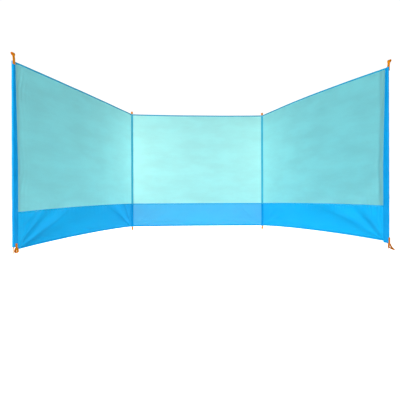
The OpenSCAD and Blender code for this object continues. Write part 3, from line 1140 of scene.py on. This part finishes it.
@dataclass(frozen=True)
class EndSleeve(Sleeve):
    """The slack sleeve of an end pole: round the pole, then two plies that close on the panel's edge."""

    cut_rows: int = 15
    flutter: float = 0.0035
    ply_points: int = 9
    round_points: int = 23

    def _section(self, z: Array, radius: float, half: float) -> Array:
        """Points of one face of the sleeve from margin to margin.

        Args:
            z: Heights of the sections.
            radius: Radius of the face round the pole.
            half: Distance of the face from the middle of the margin.

        Returns:
            x and n of each point, by height and place.
        """
        edge = SIZES.end_edge(z)[:, None]
        turn = tangent_turn(edge, half, radius)
        share = np.linspace(0, 1, self.ply_points)[None, :]
        ply_x = edge + (radius * np.cos(turn) - edge) * share
        ply_n = half + (radius * np.sin(turn) - half) * share
        bend = turn + (math.tau - 2 * turn) * np.linspace(0, 1, self.round_points)[None, 1:-1]
        humped = np.sin((bend - turn) / (math.tau - 2 * turn) * math.pi)
        swollen = radius + self._wrinkle(bend, z[:, None]) * humped
        rng = np.random.default_rng(self.seed + 1)
        pitches = (0.9, 0.41, 0.19, 0.11)
        sway = sum(rng.uniform(0.4, 1.0) * wave(z, pitch, rng.uniform()) for pitch in pitches)
        hollow = self.flutter * 4 * share * (1 - share) * (edge - radius) / SIZES.slack_bottom
        shift = hollow * sway[:, None] / 2.2
        outside = np.concatenate([edge + SIZES.margin, edge + SIZES.margin / 2], axis=1)
        level = np.full_like(outside, half)
        x = [outside, ply_x, swollen * np.cos(bend), ply_x[:, ::-1], outside[:, ::-1]]
        n = [level, ply_n + shift, swollen * np.sin(bend), -ply_n[:, ::-1] + shift[:, ::-1], -level]
        return np.stack([np.concatenate(x, axis=1), np.concatenate(n, axis=1)], -1)

    def strips(self, z: Array) -> list[tuple[Array, Array]]:
        """One strip, from the margin on one face round the pole to the margin on the other."""
        outer = self._section(z, SIZES.sleeve_outside, SIZES.seam_half)
        return [(outer, self._section(z, SIZES.sleeve_outside - PLY, SIZES.seam_half - PLY))]

    def finish(self, finishes: Finishes) -> Material:
        """The blue cloth of the end sleeves."""
        return finishes.end_sleeve

    def margin_lines(self, z: Array) -> list[Array]:
        """A line on each face through the sewn margin."""
        x = SIZES.end_edge(z) + SIZES.margin * 0.45
        return [self.frame.world(x, face.value * (SIZES.seam_half + PROUD), z) for face in Face]


@dataclass(frozen=True)
class InnerSleeve(Sleeve):
    """The narrow sleeve of an inner pole, in two strips between the centre bay and its wing."""

    round_points: int = 25

    def _bays(self) -> tuple[float, float]:
        """Turns round the pole of the centre bay and of the wing."""
        return 0.0, math.pi + SIZES.wing_turn

    @staticmethod
    def _spot(turn: float, reach: Any, half: float) -> tuple[Any, Any]:
        """x and n of a place so far out along a bay's turn and so far beside its middle."""
        cos, sin = math.cos(turn), math.sin(turn)
        return reach * cos - half * sin, reach * sin + half * cos

    def _face(self, first: float, last: float, radius: float, half: float, z: Array) -> Array:
        """Points of one face of a strip between two bays.

        Args:
            first: Turn of the bay where the strip begins.
            last: Turn of the bay where it ends, further round.
            radius: Radius of the face round the pole.
            half: Distance of the face from the middle of the margins.
            z: Heights of the sections.

        Returns:
            x and n of each point, by height and place.
        """
        lean = math.asin(half / radius)
        bend = np.linspace(first + lean, last - lean, self.round_points)[None, :]
        humped = np.sin(np.linspace(0, math.pi, self.round_points))[None, :]
        swollen = radius + self._wrinkle(bend, z[:, None]) * humped
        reach = SIZES.sleeve_outside + SIZES.margin * np.array([1.0, 0.5])
        ends = [np.stack(self._spot(turn, reach, side * half), -1) for turn, side in ((first, 1), (last, -1))]
        tall = [np.broadcast_to(end, (len(z), 2, 2)) for end in (ends[0], ends[1][::-1])]
        middle = np.stack([swollen * np.cos(bend), swollen * np.sin(bend)], -1)
        return np.concatenate([tall[0], middle, tall[1]], axis=1)

    def strips(self, z: Array) -> list[tuple[Array, Array]]:
        """The strip on the windward side and the one on the sheltered side."""
        centre, wing = self._bays()
        faces = ((SIZES.sleeve_outside, SIZES.seam_half), (SIZES.sleeve_outside - PLY, SIZES.seam_half - PLY))
        return [
            tuple(self._face(first, last, radius, half, z) for radius, half in faces)
            for first, last in ((centre, wing), (wing, centre + math.tau))
        ]

    def finish(self, finishes: Finishes) -> Material:
        """The teal cloth of the inner sleeves."""
        return finishes.inner_sleeve

    def foot(self, z: Array) -> Array:
        """Share of the finish's foot colour, a blue, at each height: all of it beside the skirts."""
        return 1 - eased(z - SIZES.ground_gap - SIZES.skirt_height, -0.002, 0.002)

    def margin_lines(self, z: Array) -> list[Array]:
        """A line on each face through both sewn margins."""
        reach, half = SIZES.sleeve_outside + SIZES.margin * 0.5, SIZES.seam_half + PROUD
        spots = [self._spot(turn, reach, face.value * half) for turn in self._bays() for face in Face]
        return [self.frame.world(x, n, z) for x, n in spots]


@dataclass(frozen=True)
class WebLoop:
    """A loop of webbing: two layers sewn flat on a sleeve, which part into an eye."""

    name: str
    frame: BayFrame
    seat: tuple[float, float]
    hang: Hang
    reach: float
    eye_length: float
    lean: float
    turn: float = 0.0
    twist: float = 0.0
    outside: Face = Face.WINDWARD
    width: float = 0.020
    thickness: float = 0.0015
    eye_width: float = 0.020
    curl: float = 2.0
    tail: float = 0.026
    root: float = 0.006
    tail_points: int = 10
    eye_points: int = 41
    box_half: float = 0.0065
    box_inset: float = 0.004

    def _path(self) -> Array:
        """Middle line of the strap as n and height over the sleeve's edge, from one tail to the other."""
        neck = self.reach - self.root - self.eye_length - self.thickness
        start = neck + 0.4 * self.root
        length = self.reach - self.thickness / 2 - start
        half = self.thickness / 2
        tail = np.linspace(-self.tail, start, self.tail_points, endpoint=False)
        angle = np.linspace(0, math.tau, self.eye_points)
        side = (self.eye_width / 2 + half) / WIDEST * np.sin(angle) * np.sin(angle / 2)
        side = np.where(angle < math.pi, np.maximum(side, half), np.minimum(side, -half))
        height = start + length * (1 - np.cos(angle)) / 2
        side = np.concatenate([np.full_like(tail, half), side, np.full_like(tail, -half)])
        return np.column_stack([side, np.concatenate([tail, height, tail[::-1]])])

    def _world(self, across: Array, n: Array, height: Array) -> Array:
        """Points of the shared frame for places on the strap.

        Args:
            across: Distance from the middle of the strap's width.
            n: Distance from the middle of the doubled strap.
            height: Distance past the sleeve's edge.

        Returns:
            The points, with the strap's lean and turn, and the twist of its eye.
        """
        turn = math.radians(self.turn)
        eye_turn = turn + math.radians(self.twist) * eased(height, 0.0, 0.4 * self.reach)
        lean = self.lean * (np.clip(height, 0, None) / self.reach) ** self.curl
        x = across * np.cos(eye_turn) - n * np.sin(eye_turn) - lean * math.sin(turn)
        y = across * np.sin(eye_turn) + n * np.cos(eye_turn) + lean * math.cos(turn)
        edge = SIZES.high if self.hang is Hang.UP else SIZES.ground_gap
        return self.frame.world(self.seat[0] + x, self.seat[1] + y, edge + self.hang.value * height)

    def build(self, finishes: Finishes) -> None:
        """Builds the strap and the stitches on its tail."""
        path = self._path()
        ahead = np.gradient(path, axis=0)
        ahead /= np.linalg.norm(ahead, axis=1)[:, None]
        normal = np.column_stack([-ahead[:, 1], ahead[:, 0]])
        across = np.array([-1.0, -0.94, -0.6, 0.0, 0.6, 0.94, 1.0]) * self.width / 2
        thin = np.array([0.45, 0.9, 1.0, 1.0, 1.0, 0.9, 0.45]) * self.thickness / 2
        faces = []
        for sign in (-1, 1):
            n = path[:, :1] + sign * normal[:, :1] * thin
            height = path[:, 1:] + sign * normal[:, 1:] * thin
            faces.append(self._world(np.broadcast_to(across, n.shape), n, height))
        steps = np.concatenate([[0], np.cumsum(np.linalg.norm(np.diff(path, axis=0), axis=1))])
        mesh = PieceMesh()
        mesh.shell(*faces, chart_of(steps, across + self.width / 2))
        dress(mesh.piece(self.name + "_webbing", finishes.webbing), [self.name])
        proud = self.outside.value * (self.thickness + PROUD)
        side, low, high = self.box_half, -self.tail + self.box_inset, -self.box_inset
        corners = [(-side, low), (side, low), (side, high), (-side, high), (-side, low)]
        lines = [
            self._world(np.linspace(a[0], b[0], 8), np.full(8, proud), np.linspace(a[1], b[1], 8))
            for a, b in [*zip(corners, corners[1:]), (corners[0], corners[2]), (corners[1], corners[3])]
        ]
        sewing = StitchRows(pitch=0.0034, length=0.0027, thickness=0.0006)
        dress(sewing.sew(self.name + "_stitches", lines, finishes.orange_thread))


@dataclass
class Windbreak:
    """The whole windbreak: three bays, four sleeves, eight loops and the poles of the frame."""

    finishes: Finishes = field(default_factory=Finishes)

    def bays(self) -> list[tuple[Bay, tuple[str, str]]]:
        """The three bays, each with the sleeves that hold it."""
        width, low = SIZES.bay_width, SIZES.ground_gap
        # In each Fold the fourth number, where given, and in each Crease the second, is the painted shade along it.
        left = Bay(
            "left_wing", FRAMES["left_wing"], Edges(0.006, 0.009, 0.020, -0.024), True,
            (
                CreaseFan(
                    0.03, low - 0.024,
                    (Fold(24.5, 9.0, 0.45, 0.14), Fold(47.5, 6.6, 0.42, 0.12), Fold(63.0, 5.0, 0.2)), 1.2, 3,
                ),
                CreaseFan(width - 0.01, low, (Fold(143.5, 8.0, 0.48), Fold(114.5, 5.0, 0.46)), 0.75, 8),
                CreaseFan(0.01, SIZES.high, (Fold(-62.0, 9.0), Fold(-45.0, 8.0), Fold(-26.0, 7.0)), 0.8, 5),
            ),
            Swell(0.0045, 0.75, 0.28, 60, 21), (SideRipples(0.0028, 0.034, 0.075, 4),),
            SeamPucker(0.0016, 0.042, 0.05, 31), 0.010, 0.030,
            (
                Crease(((0.060, 0.072), (0.184, 0.178), (0.322, 0.295)), 0.36),
                Crease(((0.080, 0.045), (0.223, 0.103), (0.432, 0.209), (0.588, 0.299)), 0.34, 0.013),
                Crease(((0.091, 0.205), (0.167, 0.260), (0.248, 0.312)), 0.25),
                Crease(((1.590, 0.068), (1.543, 0.100), (1.420, 0.203), (1.225, 0.300)), 0.16),
                Crease(((1.548, 0.180), (1.530, 0.225), (1.507, 0.280)), 0.22, 0.009),
            ),
        )
        centre = Bay(
            "centre", FRAMES["centre"], Edges(-0.008, 0.001, 0.003, 0.0), False,
            (
                CreaseFan(0.01, low, (Fold(16.0, 5.0), Fold(27.0, 5.0), Fold(42.0, 6.0)), 0.9, 12),
                CreaseFan(width - 0.01, low, (Fold(138.0, 6.0), Fold(152.0, 5.0), Fold(164.0, 5.0)), 0.8, 14),
            ),
            Swell(0.0040, 0.8, 0.30, 80, 22), (),
            SeamPucker(0.0009, 0.05, 0.05, 32), 0.008,
        )
        right = Bay(
            "right_wing", FRAMES["right_wing"], Edges(0.018, 0.009, 0.020, 0.012), True,
            (
                CreaseFan(
                    0.03, low + 0.012,
                    (Fold(25.5, 8.6, 0.45, 0.22), Fold(53.5, 9.2, 0.45, 0.26), Fold(82.0, 6.0, 0.25, 0.2)), 1.2, 17,
                ),
                CreaseFan(width - 0.01, low, (Fold(131.0, 7.0), Fold(154.0, 6.0)), 0.6, 9),
                CreaseFan(0.01, SIZES.high, (Fold(-62.0, 9.0), Fold(-45.0, 8.0), Fold(-26.0, 7.0)), 0.8, 6),
            ),
            Swell(0.0045, 0.75, 0.28, 60, 23), (SideRipples(0.0034, 0.05, 0.06, 6),),
            SeamPucker(0.0018, 0.038, 0.06, 33), 0.010, 0.048,
            (
                Crease(((0.052, 0.080), (0.164, 0.205), (0.301, 0.319)), 0.30),
                Crease(((0.252, 0.164), (0.517, 0.254), (0.675, 0.296)), 0.16, 0.016),
            ),
        )
        return [
            (left, ("left_end_sleeve_cloth", "left_inner_sleeve_cloth")),
            (centre, ("left_inner_sleeve_cloth", "right_inner_sleeve_cloth")),
            (right, ("right_end_sleeve_cloth", "right_inner_sleeve_cloth")),
        ]

    def sleeves(self) -> list[Sleeve]:
        """The four sleeves."""
        return [
            EndSleeve("left_end_sleeve", FRAMES["left_wing"], 41),
            InnerSleeve("left_inner_sleeve", FRAMES["centre"], 42),
            InnerSleeve("right_inner_sleeve", FRAMES["right_inner"], 43),
            EndSleeve("right_end_sleeve", FRAMES["right_wing"], 44),
        ]

    def loops(self) -> list[WebLoop]:
        """The guy loops on top of the sleeves and the peg loops at their feet."""
        strap = 0.0016  # from a sleeve's face to the middle of the doubled strap
        beside = SIZES.sleeve_outside + strap
        edge = float(SIZES.end_edge(np.array(SIZES.ground_gap)))
        touch = float(tangent_turn(np.array(edge), SIZES.seam_half, SIZES.sleeve_outside))
        begin = SIZES.sleeve_outside * np.array([math.cos(touch), -math.sin(touch)])
        ply = np.array([edge, -SIZES.seam_half]) - begin
        slope = math.atan2(ply[1], ply[0])
        seat = begin + 0.6 * ply + strap * np.array([math.sin(slope), -math.cos(slope)])
        guy, peg = 0.026, 0.0394  # lengths of the eyes
        guy_reach, inner_guy_reach, peg_reach = 0.066, 0.036, 0.047
        return [
            WebLoop(
                "left_end_guy_loop", FRAMES["left_wing"], (0.0, -beside), Hang.UP, guy_reach, guy, 0.016,
                outside=Face.SHELTERED,
            ),
            WebLoop("left_inner_guy_loop", FRAMES["centre"], (0.0, beside), Hang.UP, inner_guy_reach, guy, 0.0),
            WebLoop("right_inner_guy_loop", FRAMES["right_inner"], (0.0, beside), Hang.UP, inner_guy_reach, guy, 0.0),
            WebLoop("right_end_guy_loop", FRAMES["right_wing"], (0.0, beside), Hang.UP, guy_reach, guy, 0.016),
            WebLoop(
                "left_end_peg_loop", FRAMES["left_wing"], (float(seat[0]), float(seat[1])), Hang.DOWN, peg_reach, peg,
                0.0, turn=math.degrees(slope), twist=-12.0, outside=Face.SHELTERED, eye_width=0.024,
            ),
            WebLoop("left_inner_peg_loop", FRAMES["centre"], (0.0, beside), Hang.DOWN, peg_reach, peg, 0.020),
            WebLoop("right_inner_peg_loop", FRAMES["right_inner"], (0.0, beside), Hang.DOWN, peg_reach, peg, 0.020),
            WebLoop(
                "right_end_peg_loop", FRAMES["right_wing"], (-beside, 0.0), Hang.DOWN, peg_reach, peg, 0.040,
                turn=90.0, twist=7.0, eye_width=0.024, curl=4.0, tail=0.046,
            ),
        ]

    def dress_poles(self) -> None:
        """Gives the poles, caps and spikes of the frame their finishes."""
        for name, node in frame["nodes"].items():
            for ending, material in (
                ("_pole", self.finishes.pole),
                ("_pole_cap", self.finishes.cap),
                ("_ground_spike", self.finishes.spike),
            ):
                if name.endswith(ending):
                    node.data.materials.clear()
                    node.data.materials.append(material)
                    log.info("%s: solid kept, dressed in %s", name, material.name)

    def build(self) -> None:
        """Builds all of it, the sleeves first, because the bays are sewn into them."""
        for sleeve in self.sleeves():
            sleeve.build(self.finishes)
        for bay, sleeves in self.bays():
            bay.build(self.finishes, sleeves)
        for loop in self.loops():
            loop.build(self.finishes)
        self.dress_poles()


@dataclass(frozen=True)
class Lamp:
    """A soft square light."""

    name: str
    place: Point
    target: Point
    size: float
    power: float

    def add(self) -> None:
        """Adds the light, which the camera itself doesn't see."""
        data = bpy.data.lights.new(self.name, "AREA")
        data.size = self.size
        data.energy = self.power
        lamp = add_object(self.name, data)
        lamp.location = self.place
        lamp.rotation_euler = (Vector(self.target) - Vector(self.place)).to_track_quat("-Z", "Y").to_euler()
        lamp.visible_camera = False


@dataclass(frozen=True)
class Studio:
    """A white room: floor, soft light and the camera."""

    camera_place: Point = (0.6576, -3.9313, 0.4331)
    yaw: float = -2.78
    roll: float = -0.2
    focal_pixels: float = 312.2
    frame_pixels: int = 400
    rise_pixels: float = 4.4
    sensor: float = 36.0
    surround: float = 0.25
    surround_seen: float = 1.05
    floor_half: float = 30.0
    floor_depth: float = 0.02
    floor_gap: float = 0.0005
    lamps: tuple[Lamp, ...] = (
        Lamp("front_softbox", (0.8, -5.6, 1.55), (0.82, 0.0, 0.6), 3.0, 52.0),
        Lamp("left_front_softbox", (-2.2, -4.2, 1.6), (1.9, -0.6, 0.7), 2.0, 90.0),
        Lamp("back_softbox", (0.82, 2.4, 0.6), (0.82, 0.0, 0.6), 1.8, 30.0),
        Lamp("left_corner_softbox", (-0.55, 0.75, 0.95), (0.0, 0.0, 0.85), 1.0, 24.0),
        Lamp("right_corner_softbox", (2.2, 0.75, 0.95), (1.645, 0.0, 0.85), 1.0, 18.5),
    )

    def camera(self) -> None:
        """Adds the camera, level and a little higher than the skirts."""
        data = bpy.data.cameras.new("photo_camera")
        data.sensor_width = self.sensor
        data.lens = self.focal_pixels / self.frame_pixels * self.sensor
        data.shift_y = -self.rise_pixels / self.frame_pixels
        camera = add_object("photo_camera", data)
        camera.location = self.camera_place
        camera.rotation_euler = (math.pi / 2, 0.0, math.radians(self.yaw))
        camera.rotation_euler.rotate_axis("Z", math.radians(self.roll))
        bpy.context.scene.camera = camera

    def light(self) -> None:
        """Adds the lamps and the white surroundings, which light the cloth less than they look."""
        world = bpy.data.worlds.new("white_room")
        world.use_nodes = True
        tree = world.node_tree
        sky = tree.nodes["Background"]
        sky.inputs["Color"].default_value = (1.0, 1.0, 1.0, 1.0)
        seen = tree.nodes.new("ShaderNodeLightPath")
        strength = tree.nodes.new("ShaderNodeMapRange")
        strength.inputs["To Min"].default_value = self.surround
        strength.inputs["To Max"].default_value = self.surround_seen
        tree.links.new(seen.outputs["Is Camera Ray"], strength.inputs["Value"])
        tree.links.new(strength.outputs["Result"], sky.inputs["Strength"])
        bpy.context.scene.world = world
        for lamp in self.lamps:
            lamp.add()
        bpy.context.scene.view_settings.view_transform = "Standard"

    def floor(self, finishes: Finishes) -> None:
        """Adds the floor just under the spikes."""
        side = np.linspace(-self.floor_half, self.floor_half, 7)
        x, y = np.meshgrid(side, side)
        top = np.stack([x, y, np.full_like(x, -self.floor_gap)], -1)
        mesh = PieceMesh()
        mesh.shell(top, top - np.array([0.0, 0.0, self.floor_depth]), np.stack([x, y], -1))
        mesh.piece("floor", finishes.floor)

    def build(self, finishes: Finishes) -> None:
        """Builds the room round the windbreak."""
        self.camera()
        self.light()
        self.floor(finishes)
        log.info("studio: camera at %s, lens for %d pixels", self.camera_place, self.frame_pixels)


def main() -> None:
    """Builds the windbreak and its room."""
    logging.basicConfig(level=logging.INFO, format="%(name)s: %(message)s")
    windbreak = Windbreak()
    windbreak.build()
    Studio().build(windbreak.finishes)


if __name__ == "__main__":
    main()
